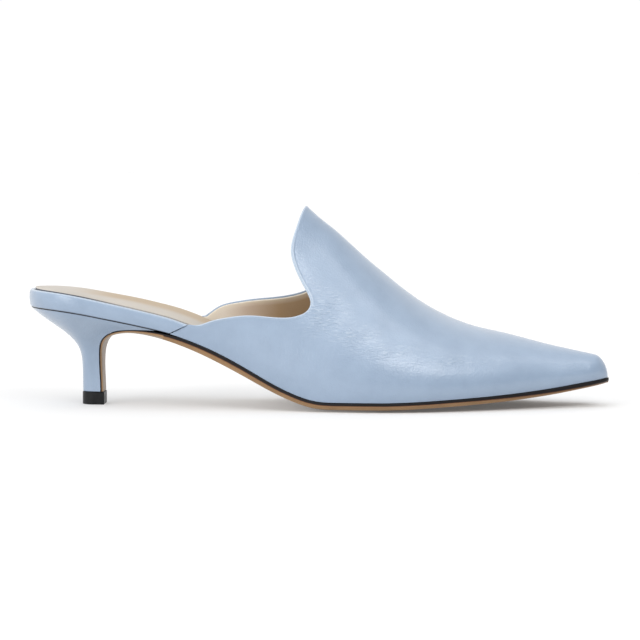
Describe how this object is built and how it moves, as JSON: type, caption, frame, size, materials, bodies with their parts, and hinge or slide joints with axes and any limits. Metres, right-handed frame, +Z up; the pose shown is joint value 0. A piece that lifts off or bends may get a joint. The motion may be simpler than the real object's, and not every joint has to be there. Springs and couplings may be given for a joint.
{
  "type": "kitten heel shoe",
  "caption": "Backless pointed-toe mule in smooth pale blue leather with a high vamp, low wings, a slim covered kitten heel and a leather sole.",
  "frame": {"origin": "on the floor under the middle of the shoe's bounding box", "axes": "+X points to the toe, -Y is the outer side of the right foot, +Z up"},
  "size_m": [0.2662, 0.0796, 0.0916],
  "materials": {
    "upper_leather": "smooth pale blue calf leather with a soft sheen",
    "sole_leather": "tan sole leather with black inked edges",
    "heel_leather": "smooth pale blue leather over the heel block",
    "rubber": "black moulded rubber",
    "board": "fibre board",
    "sock_leather": "matt beige lining leather"
  },
  "bodies": {
    "root": {"upper": "upper_leather", "outsole": "sole_leather", "heel": "heel_leather", "top_piece": "rubber", "rand": "heel_leather", "insole": "board", "sock": "sock_leather"}
  },
  "joints": []
}
